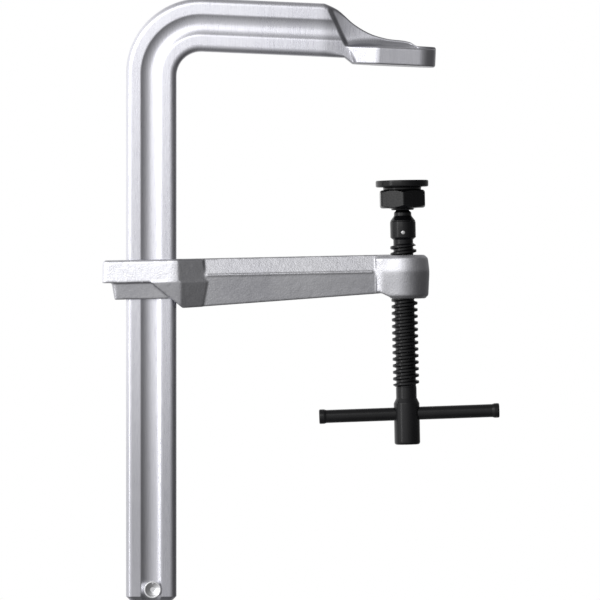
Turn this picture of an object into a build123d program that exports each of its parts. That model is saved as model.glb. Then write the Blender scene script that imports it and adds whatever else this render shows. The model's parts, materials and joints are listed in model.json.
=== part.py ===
from build123d import *

import math
import os

# A forged F clamp in millimetres and degrees, stood upright with the rail on the left.
# The origin is on the fixed jaw's face, on the screw's line. +X points away from the rail and +Z up.

# Rail
throat = 138.8  # from the screw's line to the rail's inner edge
rail_width = 30.6
rail_thickness = 15.0
rail_below_jaw = 325.7
rail_corner = 3.6
groove_width = 12.4
groove_depth = 1.7
foot_chamfer = 2.0

# Head of the rail, leaning down towards the jaw
head_fall = 2.45
head_spread = 1.7  # more than the rail's width, from the bend
head_above_face = 3.6
bend_inner_radius = 15.0
bend_spread = 0.4

# Fixed jaw, forged out of the head's end
jaw_reach = 19.0  # past the screw's line
jaw_width = 30.0
jaw_thickness = 12.1
jaw_edge_round = 1.4
jaw_tip_width = 27.6
jaw_tip_radius = 10.0
jaw_step_start = -36.5  # along the head, where the underside steps down to the face
jaw_step_end = -31.5
jaw_spread_end = -17.0
neck_length = 11.5  # of plain bar before the step
neck_bevel = 3.0
spine_bevel = 1.0
spine_inset = 2.4  # from the jaw's sides
shoulder_inset = 1.1  # below the jaw's top

# Stop pin through the foot
stop_pin_radius = 5.25
stop_pin_wall = 1.7
stop_pin_proud = 3.0
stop_pin_slot = 1.6
stop_pin_above_foot = 6.7
stop_pin_offset = 1.0  # from the rail's middle line towards the jaw

# Sliding arm, drawn level about the screw's line, then leaned with everything that it carries
arm_level = -128.7
arm_lean = 1.19
window_slack = 1.6  # over the rail's width, which lets the arm lean
window_side_gap = 0.35  # on each flat of the rail
collar_wall = 13.7  # behind the rail
collar_side_wall = 6.65
collar_end = 2.3  # of full depth in front of the window
collar_corner = 3.0
collar_narrowing = 1.6  # of each side, from the window's front to the collar's back
collar_top = 13.9
collar_bottom = -10.2
lower_recess_back = 5.8
lower_recess_side = 1.2
upper_draft = 3.0
lower_draft = 9.0
root_ahead = 2.8  # of the window, where the root is lowest
root_bottom = -16.1
root_draft = 12.0
root_spread = 15.9  # over which the collar narrows to the beam
root_ledge = 1.5  # that the root stands out ahead of the tier above it
beam_top_half = 5.6
beam_mid_half = 8.0
beam_bottom_half = 5.2
beam_parting = 3.5
beam_overlap = 4.0  # into the root
beam_rise = 0.6  # of its underside over the root's bottom, where it starts
beam_end_bottom = -8.9
boss_wall = 7.4  # ahead of the thread
boss_side_wall = 6.3
boss_lead = 8.8  # behind the thread, where the boss starts to spread
boss_edge = 2.0
boss_top = 13.4
boss_bottom = -13.3
boss_ramp_start = 2.0  # from the boss's start
boss_ramp = 7.5  # of the underside, from the beam down to the boss
forged_edge = 1.2

# Screw thread, trapezoidal, 16 by 4
thread_radius = 8.0
thread_pitch = 4.0
thread_height = 2.25
thread_crest = 1.46
thread_flank = 15.0
thread_root_overlap = 0.4
thread_clearance = 0.2
thread_mouth = 0.1  # more in the arm's bore than the clearance
thread_top = 20.7
thread_bottom = -67.3

# Tommy bar
bar_radius = 4.0
bar_length = 110.0
bar_fit = 0.25
bar_shift = 1.5
bar_lean = 0.85  # more than the arm's, within the hole's clearance
bar_upset = 0.45
bar_end_length = 3.0
bar_end_run = 1.0
bar_end_chamfer = 0.6

# Spindle's necks, head and barrel
lower_neck_step = 0.55  # over the thread's core
lower_neck_length = 6.5
head_wall = 3.6  # beside the bar's hole
head_above_bar = 9.5
head_below_bar = 18.9
head_chamfer = 1.5
head_hollow = 1.0
undercut_step = 0.3
undercut_length = 2.7
barrel_wall = 3.8
barrel_length = 10.2
barrel_chamfer = 0.6

# Ball stud, which turns in the barrel and is held by a pin
shank_radius = 4.0
shank_fit = 0.05
shank_length = 10.6
shank_groove_depth = 1.3
stud_pin_radius = 1.2
stud_pin_above_barrel = 3.7  # from the barrel's lower end
pin_gap = 0.25
face_gap = 0.3
stud_step = 0.3  # in from the barrel
stud_cone = 3.3
stud_neck_radius = 5.35
stud_neck_length = 2.2
stud_taper = 1.2
ball_neck_radius = 4.0
ball_radius = 7.0
ball_fit = 0.08

# Pressure pad and its nut
pad_radius = 16.1
pad_web = 4.42  # over the ball's socket
pad_thickness = 4.1
pad_edge = 0.8
pad_neck_inset = 1.9  # from the nut's flats
pad_neck_length = 1.8
pad_boss_wall = 2.52
pad_boss_above_ball = 0.1  # from the ball's middle
nut_wall = 3.9
nut_turn = 2.0  # about the screw's line, from a corner to the front
nut_hub_height = 1.2
nut_hub_wall = 0.3
nut_hub_spread = 3.2
nut_lip_drop = 2.4  # of the lip above the ball's lowest point
nut_lip = 2.0
nut_flare = 0.92
nut_above_neck = 0.3
nut_chamfer = 0.8
nut_chamfer_angle = 30.0

# Seats of the leaning pieces
bar_level = thread_bottom - lower_neck_length - head_above_bar
arm_seat = Location((0, 0, arm_level), (0, -arm_lean, 0))
head_seat = Location((0, 0, 0), (0, head_fall, 0))
bar_seat = Location((bar_shift, 0, bar_level), (0, -bar_lean, 0))
head_side = Plane(head_seat * Plane.XZ.location)
head_face = Plane(head_seat * Plane.XY.location)
head_across = Plane(head_seat * Plane.YZ.location)
bar_across = Plane(bar_seat * Plane.YZ.location)

# Places on the rail
rail_outer = -throat - rail_width
rail_middle = -throat - rail_width / 2
rail_half = rail_thickness / 2
head_height = rail_width + head_spread
head_topside = head_above_face + head_height
head_middle = head_above_face + head_height / 2
bend_outer_radius = bend_inner_radius + rail_width + bend_spread
neck_start = jaw_step_start - neck_length
stop_pin_x = rail_middle + stop_pin_offset
stop_pin_level = -rail_below_jaw + stop_pin_above_foot

# Places on the arm
window_half = (rail_width + window_slack) / 2
window_middle = rail_middle / math.cos(math.radians(arm_lean))
window_depth = rail_thickness + 2 * window_side_gap
collar_half = window_depth / 2 + collar_side_wall
collar_back_half = collar_half - collar_narrowing
collar_back = window_middle - window_half - collar_wall
collar_front = window_middle + window_half + collar_end
beam_start = collar_front + root_spread
thread_bore = thread_radius + thread_clearance
boss_start = -thread_bore - boss_lead
boss_reach = thread_bore + boss_wall
boss_half = thread_bore + boss_side_wall

# Places on the spindle, the stud and the pad
core_radius = thread_radius - thread_height
bore_radius = shank_radius + shank_fit
lower_neck_radius = core_radius + lower_neck_step
head_radius = bar_radius + bar_fit + head_wall
head_top = bar_level + head_above_bar
head_bottom = bar_level - head_below_bar
undercut_radius = core_radius + undercut_step
barrel_radius = shank_radius + barrel_wall
barrel_bottom = thread_top + undercut_length
barrel_top = barrel_bottom + barrel_length
stud_pin_level = barrel_bottom + stud_pin_above_barrel
shoulder_face = barrel_top + face_gap
stud_neck_start = shoulder_face + stud_cone
stud_neck_end = stud_neck_start + stud_neck_length
ball_neck_start = stud_neck_end + stud_taper
shank_groove_radius = shank_radius - shank_groove_depth
socket_radius = ball_radius + ball_fit
nut_bottom = ball_neck_start + nut_above_neck
lip_level = nut_bottom + nut_lip
ball_level = lip_level + ball_radius - nut_lip_drop
pad_boss_radius = socket_radius + pad_boss_wall
pad_boss_bottom = ball_level + pad_boss_above_ball
pad_top = ball_level + socket_radius + pad_web
pad_underside = pad_top - pad_thickness
nut_top = pad_underside - pad_neck_length
nut_inradius = pad_boss_radius + nut_wall


def on_head(along, above):
    """The point of the upright XZ plane that is this far along the head and this far above its face."""
    fall = math.radians(head_fall)
    return (
        along * math.cos(fall) + above * math.sin(fall),
        above * math.cos(fall) - along * math.sin(fall),
    )


def on_head_at(x, above):
    """The point at this x on the line that runs along the head, this far above its face."""
    fall = math.radians(head_fall)
    return (x, above / math.cos(fall) - x * math.tan(fall))


def thread_ridge(bottom, top, clearance):
    """The screw's helical ridge between two levels, its crest and flanks let out by a clearance."""
    flank = math.radians(thread_flank)
    root = thread_radius - thread_height - thread_root_overlap
    rise = thread_radius + clearance - root
    crest_half = thread_crest / 2 + clearance / math.cos(flank) - clearance * math.tan(flank)
    root_half = crest_half + rise * math.tan(flank)
    first_turn = (math.floor(bottom / thread_pitch) - 1) * thread_pitch
    last_turn = (math.ceil(top / thread_pitch) + 1) * thread_pitch
    with BuildPart() as ridge:
        with BuildLine() as helix:
            Helix(thread_pitch, last_turn - first_turn, root, center=(0, 0, first_turn))
        with BuildSketch(Plane(helix.line @ 0, x_dir=(1, 0, 0), z_dir=helix.line % 0)):
            with BuildLine():
                Polyline((0, -root_half), (rise, -crest_half), (rise, crest_half), (0, root_half), close=True)
            make_face()
        sweep(is_frenet=True)
        for level, end in ((bottom, first_turn), (top, last_turn)):
            with BuildSketch(Plane.XY.offset(level)):
                Circle(2 * thread_radius)
            extrude(amount=2 * (end - level), mode=Mode.SUBTRACT)
    return ridge.part


os.makedirs("parts", exist_ok=True)

# Fixed jaw: a plate spread out of the head's end, flat below, with the head's spine running out along it
with BuildPart() as jaw:
    with BuildSketch(head_side):
        with BuildLine():
            Polyline(
                (jaw_step_start, head_above_face), (jaw_step_end, 0), (jaw_reach, 0),
                (jaw_reach, jaw_thickness), (jaw_step_start, jaw_thickness), close=True,
            )
        make_face()
    extrude(amount=jaw_width / 2, both=True)
    with BuildSketch(head_face) as plan:
        with BuildLine():
            Polyline(
                (jaw_step_start, -rail_half), (jaw_spread_end, -jaw_width / 2),
                (jaw_reach, -jaw_tip_width / 2), (jaw_reach, jaw_tip_width / 2),
                (jaw_spread_end, jaw_width / 2), (jaw_step_start, rail_half), close=True,
            )
        make_face()
        corners = plan.vertices().sort_by(Axis.X)
        fillet(corners[-2:], jaw_tip_radius)
        fillet(corners[2:4], jaw_tip_radius)
    extrude(amount=2 * jaw_thickness, mode=Mode.INTERSECT)
    upper_rim = jaw.faces().sort_by(Axis((0, 0, 0), head_face.z_dir))[-1].edges()
    fillet(upper_rim, jaw_edge_round)

# Each section of the spine: its place past the step's start, how far it has spread to the jaw's width, the
# heights of its shoulder and ridge as shares of the way from jaw to head, and the ridge's half width
spine_sections = (
    (-5.5, 0.0, 0.48, 0.887, 4.2),
    (0.5, 0.0, 0.06, 0.685, 4.2),
    (6.5, 0.13, 0.01, 0.475, 4.4),
    (13.5, 0.65, 0.0, 0.303, 4.8),
    (22.5, 0.96, 0.0, 0.189, 5.2),
    (32.5, 1.0, 0.0, 0.130, 5.2),
    (40.5, 0.88, 0.0, 0.088, 5.0),
)
shoulder_low = jaw_thickness - shoulder_inset
with BuildPart() as spine:
    with BuildSketch(head_across.offset(neck_start)) as head_corners:
        with Locations((0, head_middle)):
            Rectangle(rail_thickness, head_height)
        chamfer(head_corners.vertices(), neck_bevel)
    for past, spread, shoulder_share, ridge_share, ridge_half in spine_sections:
        half = rail_half + spread * (jaw_width / 2 - spine_inset - rail_half)
        bevel = spine_bevel + (neck_bevel - spine_bevel) * max(0.0, -past / neck_length)
        shoulder = shoulder_low + shoulder_share * (head_topside - shoulder_low)
        ridge = jaw_thickness + ridge_share * (head_topside - jaw_thickness)
        with BuildSketch(head_across.offset(jaw_step_start + past)):
            with BuildLine():
                Polyline(
                    (-half + bevel, head_above_face), (half - bevel, head_above_face),
                    (half, head_above_face + bevel), (half, shoulder), (ridge_half, ridge),
                    (-ridge_half, ridge), (-half, shoulder), (-half, head_above_face + bevel), close=True,
                )
            make_face()
    loft()

# Rail: an upright outline with its long edges rounded, then the jaw, then a round groove down both flats
inner_corner = on_head_at(-throat, head_above_face)
outer_corner = on_head_at(rail_outer, head_topside)
middle_corner = on_head_at(rail_middle, head_middle)
groove_stop = on_head(jaw_step_start - 3.0, head_middle)
groove_bend = (bend_inner_radius + bend_outer_radius) / 2
groove_arc = (groove_width**2 / 4 + groove_depth**2) / (2 * groove_depth)

with BuildPart() as rail:
    with BuildSketch(Plane.XZ) as outline:
        with BuildLine():
            Polyline(
                (rail_outer, -rail_below_jaw), (-throat, -rail_below_jaw), inner_corner,
                on_head(neck_start, head_above_face), on_head(neck_start, head_topside),
                outer_corner, close=True,
            )
        make_face()
        for (x, z), radius in ((inner_corner, bend_inner_radius), (outer_corner, bend_outer_radius)):
            fillet(outline.vertices().sort_by_distance((x, z, 0))[0], radius)
    extrude(amount=rail_half, both=True)
    flat_rims = [face.edges() for face in rail.faces().filter_by(Axis.Y)]
    long_edges = [edge for rim in flat_rims for edge in rim if edge.length > head_height + rail_width / 2]
    bend_edges = rail.edges().filter_by(GeomType.CIRCLE)
    fillet(ShapeList(long_edges) + bend_edges, rail_corner)
    chamfer(rail.faces().sort_by(Axis.Z)[0].edges(), foot_chamfer)
    add(spine.part)
    add(jaw.part)
    for flat in (-rail_half, rail_half):
        with BuildLine() as middle:
            FilletPolyline(
                (rail_middle, flat, -rail_below_jaw - 1.0),
                (middle_corner[0], flat, middle_corner[1]),
                (groove_stop[0], flat, groove_stop[1]),
                radius=groove_bend,
            )
        with BuildSketch(Plane(middle.line @ 0, x_dir=(0, 1, 0), z_dir=middle.line % 0)):
            with Locations((math.copysign(groove_arc - groove_depth, flat), 0)):
                Circle(groove_arc)
        sweep(path=middle.line, mode=Mode.SUBTRACT)
    with BuildSketch(Plane.XZ):
        with Locations((stop_pin_x, stop_pin_level)):
            Circle(stop_pin_radius)
    extrude(amount=rail_thickness, both=True, mode=Mode.SUBTRACT)
rail.part.label = "rail"
export_step(rail.part, "parts/rail.step")

# Stop pin: a rolled tube with a slot along it, standing out of both flats
with BuildPart() as stop_pin:
    with BuildSketch(Plane.XZ):
        with Locations((stop_pin_x, stop_pin_level)):
            Circle(stop_pin_radius)
            Circle(stop_pin_radius - stop_pin_wall, mode=Mode.SUBTRACT)
    extrude(amount=rail_half + stop_pin_proud, both=True)
    rims = stop_pin.faces().sort_by(Axis.Y)[0].edges() + stop_pin.faces().sort_by(Axis.Y)[-1].edges()
    chamfer(rims, stop_pin_wall / 3)
    with BuildSketch(Plane.XZ):
        with Locations((stop_pin_x, stop_pin_level + stop_pin_radius)):
            Rectangle(stop_pin_slot, 2 * stop_pin_radius)
    extrude(amount=rail_thickness, both=True, mode=Mode.SUBTRACT)
stop_pin.part.label = "stop_pin"
export_step(stop_pin.part, "parts/stop_pin.step")

# Sliding arm: a stepped collar around the rail, a root, a beam that thins towards the screw, and its boss
with BuildPart() as root:
    with BuildSketch(Plane.XZ):
        with BuildLine():
            Polyline(
                (window_middle, 0), (window_middle + window_half + root_ahead, root_bottom),
                (beam_start, root_bottom + beam_rise), (beam_start, 0), close=True,
            )
        make_face()
    extrude(amount=collar_half, both=True)
    with BuildSketch(Plane.XY):
        with BuildLine():
            Polyline(
                (window_middle, -collar_half), (collar_front, -collar_half), (beam_start, -beam_mid_half),
                (beam_start, beam_mid_half), (collar_front, collar_half), (window_middle, collar_half),
                close=True,
            )
        make_face()
    extrude(amount=root_bottom, taper=root_draft, mode=Mode.INTERSECT)

with BuildPart() as boss:
    with BuildSketch(Plane.XY.offset(boss_bottom)):
        with Locations((boss_reach - boss_half, 0)):
            Circle(boss_half)
        with Locations((boss_start, 0)):
            Rectangle(forged_edge, 2 * beam_mid_half)
        make_hull()
    extrude(amount=boss_top - boss_bottom)
    chamfer(boss.faces().sort_by(Axis.Z)[-1].edges() + boss.faces().sort_by(Axis.Z)[0].edges(), boss_edge)
    with BuildSketch(Plane.XZ):
        with BuildLine():
            Polyline(
                (boss_start, beam_end_bottom), (boss_start + boss_ramp_start, beam_end_bottom),
                (boss_start + boss_ramp_start + boss_ramp, boss_bottom), (boss_reach, boss_bottom),
                (boss_reach, boss_top), (boss_start, boss_top), close=True,
            )
        make_face()
    extrude(amount=boss_half, both=True, mode=Mode.INTERSECT)

with BuildPart() as sliding_arm:
    with BuildSketch(Plane.XY) as upper_plan:
        with BuildLine():
            Polyline(
                (collar_back, -collar_back_half), (collar_front - root_ledge, -collar_half),
                (beam_start - root_ledge, -beam_mid_half), (beam_start - root_ledge, beam_mid_half),
                (collar_front - root_ledge, collar_half), (collar_back, collar_back_half), close=True,
            )
        make_face()
        fillet(upper_plan.vertices().sort_by(Axis.X)[:2], collar_corner)
    extrude(amount=collar_top, taper=upper_draft)
    chamfer(sliding_arm.faces().sort_by(Axis.Z)[-1].edges(), forged_edge)
    with BuildSketch(Plane.XY) as lower_plan:
        with Locations(((collar_back + lower_recess_back + collar_front) / 2, 0)):
            Rectangle(
                collar_front - collar_back - lower_recess_back, 2 * (collar_back_half - lower_recess_side),
            )
        fillet(lower_plan.vertices().sort_by(Axis.X)[:2], collar_corner)
    extrude(amount=collar_bottom, taper=lower_draft)
    add(root.part)
    for x, bottom in ((beam_start - beam_overlap, root_bottom + beam_rise), (0.0, beam_end_bottom)):
        with BuildSketch(Plane.YZ.offset(x)):
            with BuildLine():
                Polyline(
                    (-beam_top_half, collar_top), (beam_top_half, collar_top), (beam_mid_half, beam_parting),
                    (beam_bottom_half, bottom), (-beam_bottom_half, bottom), (-beam_mid_half, beam_parting),
                    close=True,
                )
            make_face()
    loft()
    add(boss.part)
    with BuildSketch(Plane.XY.offset(root_bottom - 1.0)):
        with Locations((window_middle, 0)):
            Rectangle(2 * window_half, window_depth)
        Circle(core_radius + thread_clearance + thread_mouth)
    extrude(amount=collar_top - root_bottom + 2.0, mode=Mode.SUBTRACT)
    add(thread_ridge(boss_bottom - 1.0, collar_top + 1.0, thread_clearance), mode=Mode.SUBTRACT)
sliding_arm.part.move(arm_seat)
sliding_arm.part.label = "sliding_arm"
export_step(sliding_arm.part, "parts/sliding_arm.step")

# Spindle: head, neck, threaded length, undercut and a barrel with a blind bore for the stud
bore_bottom = barrel_top - shank_length - face_gap
with BuildPart() as spindle:
    with BuildSketch(Plane.XZ):
        with BuildLine():
            Polyline(
                (0, head_bottom + head_hollow), (head_radius / 2, head_bottom),
                (head_radius - head_chamfer, head_bottom), (head_radius, head_bottom + head_chamfer),
                (head_radius, head_top - 2 * head_chamfer), (lower_neck_radius, head_top),
                (lower_neck_radius, thread_bottom), (core_radius, thread_bottom),
                (core_radius, thread_top), (undercut_radius, thread_top),
                (undercut_radius, barrel_bottom - barrel_chamfer),
                (barrel_radius - barrel_chamfer, barrel_bottom),
                (barrel_radius, barrel_bottom + barrel_chamfer),
                (barrel_radius, barrel_top - barrel_chamfer),
                (barrel_radius - barrel_chamfer, barrel_top),
                (bore_radius, barrel_top), (bore_radius, bore_bottom), (0, bore_bottom), close=True,
            )
        make_face()
    revolve(axis=Axis.Z)
    with BuildSketch(Plane.XZ):
        with Locations((0, stud_pin_level)):
            Circle(stud_pin_radius)
    extrude(amount=2 * barrel_radius, mode=Mode.SUBTRACT)
    with BuildSketch(bar_across):
        Circle(bar_radius + bar_fit)
    extrude(amount=2 * head_radius, both=True, mode=Mode.SUBTRACT)
    add(thread_ridge(thread_bottom, thread_top, 0))
spindle.part.move(arm_seat)
spindle.part.label = "spindle"
export_step(spindle.part, "parts/spindle.step")

# Stud pin: pressed into the barrel's wall from the front, its tip in the stud's groove
with BuildPart() as stud_pin:
    with BuildSketch(Plane.XZ.offset(shank_groove_radius + pin_gap)):
        with Locations((0, stud_pin_level)):
            Circle(stud_pin_radius)
    extrude(amount=barrel_radius - shank_groove_radius - pin_gap)
stud_pin.part.move(arm_seat)
stud_pin.part.label = "stud_pin"
export_step(stud_pin.part, "parts/stud_pin.step")

# Ball stud: a grooved shank, a conical shoulder, a neck and a ball
groove_half = stud_pin_radius + pin_gap
ball_joins = ball_level - math.sqrt(ball_radius**2 - ball_neck_radius**2)
with BuildPart() as ball_stud:
    with BuildSketch(Plane.XZ):
        with BuildLine():
            Polyline(
                (0, ball_level + ball_radius), (0, shoulder_face - shank_length),
                (shank_radius, shoulder_face - shank_length), (shank_radius, stud_pin_level - groove_half),
                (shank_groove_radius, stud_pin_level - groove_half),
                (shank_groove_radius, stud_pin_level + groove_half),
                (shank_radius, stud_pin_level + groove_half),
                (shank_radius, shoulder_face), (barrel_radius - stud_step, shoulder_face),
                (stud_neck_radius, stud_neck_start), (stud_neck_radius, stud_neck_end),
                (ball_neck_radius, ball_neck_start), (ball_neck_radius, ball_joins),
            )
            ThreePointArc(
                (ball_neck_radius, ball_joins), (ball_radius, ball_level), (0, ball_level + ball_radius)
            )
        make_face()
    revolve(axis=Axis.Z)
ball_stud.part.move(arm_seat)
ball_stud.part.label = "ball_stud"
export_step(ball_stud.part, "parts/ball_stud.step")

# Pressure pad: a round plate, a neck, and a boss with the upper half of the ball's socket
pad_neck_radius = nut_inradius - pad_neck_inset
with BuildPart() as pressure_pad:
    with BuildSketch(Plane.XZ):
        with BuildLine():
            Polyline(
                (0, pad_boss_bottom), (pad_boss_radius, pad_boss_bottom), (pad_boss_radius, nut_top),
                (pad_neck_radius, nut_top), (pad_neck_radius, pad_underside), (pad_radius, pad_underside),
                (pad_radius, pad_top - pad_edge), (pad_radius - pad_edge, pad_top), (0, pad_top), close=True,
            )
        make_face()
    revolve(axis=Axis.Z)
    with Locations((0, 0, ball_level)):
        Sphere(socket_radius, mode=Mode.SUBTRACT)
pressure_pad.part.move(arm_seat)
pressure_pad.part.label = "pressure_pad"
export_step(pressure_pad.part, "parts/pressure_pad.step")

# Pad nut: a hexagon screwed onto the pad's boss, with a low hub whose lip holds the ball from below
lip_radius = math.sqrt(socket_radius**2 - (ball_level - lip_level) ** 2)
mouth_radius = lip_radius + nut_flare
hub_radius = mouth_radius + nut_hub_wall
hexagon_bottom = nut_bottom + nut_hub_height
nut_slope = math.tan(math.radians(nut_chamfer_angle))
with BuildPart() as pad_nut:
    with BuildSketch(Plane.XY.offset(hexagon_bottom)):
        RegularPolygon(nut_inradius, 6, major_radius=False, rotation=30 + nut_turn)
    extrude(amount=nut_top - hexagon_bottom)
    for end, inward in ((nut_top, -nut_slope), (hexagon_bottom, nut_slope)):
        with BuildSketch(Plane.XZ):
            with BuildLine():
                Polyline(
                    (nut_inradius - nut_chamfer, end), (2 * nut_inradius, end),
                    (2 * nut_inradius, end + inward * (nut_inradius + nut_chamfer)), close=True,
                )
            make_face()
        revolve(axis=Axis.Z, mode=Mode.SUBTRACT)
    with BuildSketch(Plane.XZ):
        with BuildLine():
            Polyline(
                (0, nut_bottom), (hub_radius, nut_bottom), (hub_radius + nut_hub_spread, hexagon_bottom),
                (0, hexagon_bottom), close=True,
            )
        make_face()
    revolve(axis=Axis.Z)
    with BuildSketch(Plane.XY.offset(pad_boss_bottom)):
        Circle(pad_boss_radius)
    extrude(amount=nut_top - pad_boss_bottom, mode=Mode.SUBTRACT)
    with BuildSketch(Plane.XZ):
        with BuildLine():
            Polyline(
                (0, nut_bottom), (mouth_radius, nut_bottom), (lip_radius, lip_level), (0, lip_level),
                close=True,
            )
        make_face()
    revolve(axis=Axis.Z, mode=Mode.SUBTRACT)
    with Locations((0, 0, ball_level)):
        Sphere(socket_radius, mode=Mode.SUBTRACT)
pad_nut.part.move(arm_seat)
pad_nut.part.label = "pad_nut"
export_step(pad_nut.part, "parts/pad_nut.step")

# Tommy bar: a plain bar, upset at both ends so that it can't leave the head
bar_end_radius = bar_radius + bar_upset
bar_end = bar_length / 2
bar_end_inner = bar_end - bar_end_length
with BuildPart() as tommy_bar:
    with BuildSketch(Plane.XZ):
        with BuildLine():
            Polyline(
                (-bar_end, 0), (-bar_end, bar_end_radius - bar_end_chamfer),
                (-bar_end + bar_end_chamfer, bar_end_radius), (-bar_end_inner, bar_end_radius),
                (-bar_end_inner + bar_end_run, bar_radius), (bar_end_inner - bar_end_run, bar_radius),
                (bar_end_inner, bar_end_radius), (bar_end - bar_end_chamfer, bar_end_radius),
                (bar_end, bar_end_radius - bar_end_chamfer), (bar_end, 0), close=True,
            )
        make_face()
    revolve(axis=Axis.X)
tommy_bar.part.move(arm_seat * bar_seat)
tommy_bar.part.label = "tommy_bar"
export_step(tommy_bar.part, "parts/tommy_bar.step")
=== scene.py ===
"""The finished look of a forged F clamp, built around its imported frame.

Every piece sits in the frame's own metres. Sizes in the classes are in millimetres, as on a workshop drawing.
"""

import json
import logging
import math
from contextlib import contextmanager
from dataclasses import dataclass
from enum import Enum
from typing import Iterator, Sequence, Union

import bmesh
import bpy
import numpy as np
from mathutils import Matrix, Vector


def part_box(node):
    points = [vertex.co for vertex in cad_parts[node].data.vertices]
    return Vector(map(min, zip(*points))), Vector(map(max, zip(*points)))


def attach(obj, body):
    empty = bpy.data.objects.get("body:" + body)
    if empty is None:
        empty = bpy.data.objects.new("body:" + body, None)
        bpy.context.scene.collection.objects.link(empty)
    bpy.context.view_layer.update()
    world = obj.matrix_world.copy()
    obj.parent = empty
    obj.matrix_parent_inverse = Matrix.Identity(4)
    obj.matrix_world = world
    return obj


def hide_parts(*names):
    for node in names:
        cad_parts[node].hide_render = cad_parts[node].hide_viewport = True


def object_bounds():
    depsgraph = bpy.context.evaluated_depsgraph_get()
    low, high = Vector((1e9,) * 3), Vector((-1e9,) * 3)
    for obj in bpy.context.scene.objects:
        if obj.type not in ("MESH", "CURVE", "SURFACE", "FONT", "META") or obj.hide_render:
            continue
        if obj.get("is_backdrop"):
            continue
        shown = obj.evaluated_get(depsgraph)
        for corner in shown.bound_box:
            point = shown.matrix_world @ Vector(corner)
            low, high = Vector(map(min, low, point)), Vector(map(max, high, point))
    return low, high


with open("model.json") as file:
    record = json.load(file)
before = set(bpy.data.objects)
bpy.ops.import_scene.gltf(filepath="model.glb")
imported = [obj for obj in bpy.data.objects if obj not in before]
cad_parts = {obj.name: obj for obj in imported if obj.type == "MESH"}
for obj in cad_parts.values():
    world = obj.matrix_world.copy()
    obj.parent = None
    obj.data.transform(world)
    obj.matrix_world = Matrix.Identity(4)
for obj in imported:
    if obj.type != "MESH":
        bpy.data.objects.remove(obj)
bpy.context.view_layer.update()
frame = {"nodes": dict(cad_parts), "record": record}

MM = 0.001
MERGE = 1e-6
LOG = logging.getLogger("f_clamp")
Number = Union[float, "Signal"]
Point = tuple[float, float]


# ---------------------------------------------------------------- node trees


class Signal:
    """A value on its way through a node tree, to which arithmetic adds Math nodes."""

    def __init__(self, graph: "Graph", socket: bpy.types.NodeSocket) -> None:
        """Wrap an output of a graph's node."""
        self.graph = graph
        self.socket = socket

    def _math(self, operation: str, *operands: Number, clamp: bool = False) -> "Signal":
        """Add a Math node and return its result."""
        settings = {"operation": operation, "use_clamp": clamp}
        return self.graph.signal("ShaderNodeMath", 0, settings, dict(enumerate(operands)))

    def __add__(self, other: Number) -> "Signal":
        """Add."""
        return self._math("ADD", self, other)

    def __sub__(self, other: Number) -> "Signal":
        """Subtract."""
        return self._math("SUBTRACT", self, other)

    def __rsub__(self, other: Number) -> "Signal":
        """Subtract from a number."""
        return self._math("SUBTRACT", other, self)

    def __mul__(self, other: Number) -> "Signal":
        """Multiply."""
        return self._math("MULTIPLY", self, other)

    def __truediv__(self, other: Number) -> "Signal":
        """Divide."""
        return self._math("DIVIDE", self, other)

    def __rtruediv__(self, other: Number) -> "Signal":
        """Divide a number by this."""
        return self._math("DIVIDE", other, self)

    __radd__ = __add__
    __rmul__ = __mul__

    def function(self, operation: str) -> "Signal":
        """Apply a one-sided Math operation, such as SINE or ABSOLUTE."""
        return self._math(operation, self)

    def clamped(self) -> "Signal":
        """Limit the value to 0 to 1."""
        return self._math("ADD", self, 0.0, clamp=True)

    def between(self, low: float, high: float) -> "Signal":
        """Rise smoothly from 0, where the value is at the low one, to 1 at the high one."""
        inputs = {"Value": self, "From Min": low, "From Max": high}
        return self.graph.signal("ShaderNodeMapRange", "Result", {"interpolation_type": "SMOOTHSTEP"}, inputs)


class Graph:
    """A shader or geometry node tree that is written as Python calls."""

    def __init__(self, tree: bpy.types.NodeTree) -> None:
        """Wrap a tree."""
        self.tree = tree

    def node(self, kind: str, settings: dict | None = None, inputs: dict | None = None) -> bpy.types.Node:
        """Add a node.

        Args:
            kind: The node's type.
            settings: Its own properties, which are set first.
            inputs: Values, signals or sockets for its sockets, by name or number.

        Returns:
            The new node.
        """
        made = self.tree.nodes.new(kind)
        for name, value in (settings or {}).items():
            setattr(made, name, value)
        for key, value in (inputs or {}).items():
            if isinstance(value, Signal):
                self.tree.links.new(value.socket, made.inputs[key])
            elif isinstance(value, bpy.types.NodeSocket):
                self.tree.links.new(value, made.inputs[key])
            else:
                made.inputs[key].default_value = value
        return made

    def signal(
        self, kind: str, output: str | int, settings: dict | None = None, inputs: dict | None = None
    ) -> Signal:
        """Add a node and return one of its outputs."""
        return Signal(self, self.node(kind, settings, inputs).outputs[output])

    def axes(self, vector: object) -> list[Signal]:
        """Split a vector into its X, Y and Z."""
        split = self.node("ShaderNodeSeparateXYZ", None, {0: vector})
        return [Signal(self, output) for output in split.outputs]

    def mix(self, share: Number, low: object, high: object) -> bpy.types.NodeSocket:
        """Mix two colours, or sockets, by the share of the second one."""
        return self.node("ShaderNodeMix", {"data_type": "RGBA"}, {0: share, 6: low, 7: high}).outputs[2]


# ---------------------------------------------------------------- finishes


class Grain(Enum):
    """The way a steel surface was worked, which sets how its pattern is stretched."""

    FORGED = (1.0, 1.0, 1.0)
    DRAWN = (1.0, 1.0, 0.06)


def rgba(colour: Sequence[float]) -> tuple[float, float, float, float]:
    """Give a colour its alpha."""
    return (colour[0], colour[1], colour[2], 1.0)


BLACK = rgba((0.0, 0.0, 0.0))
NOISE_ROUGHNESS = 0.55
CLOUD_PER_DENT = 6.0
TONE_RANGE = (0.3, 0.62)
SPECK_RANGE = (0.6, 0.72)
SPECK_GAIN = 1.25


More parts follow.
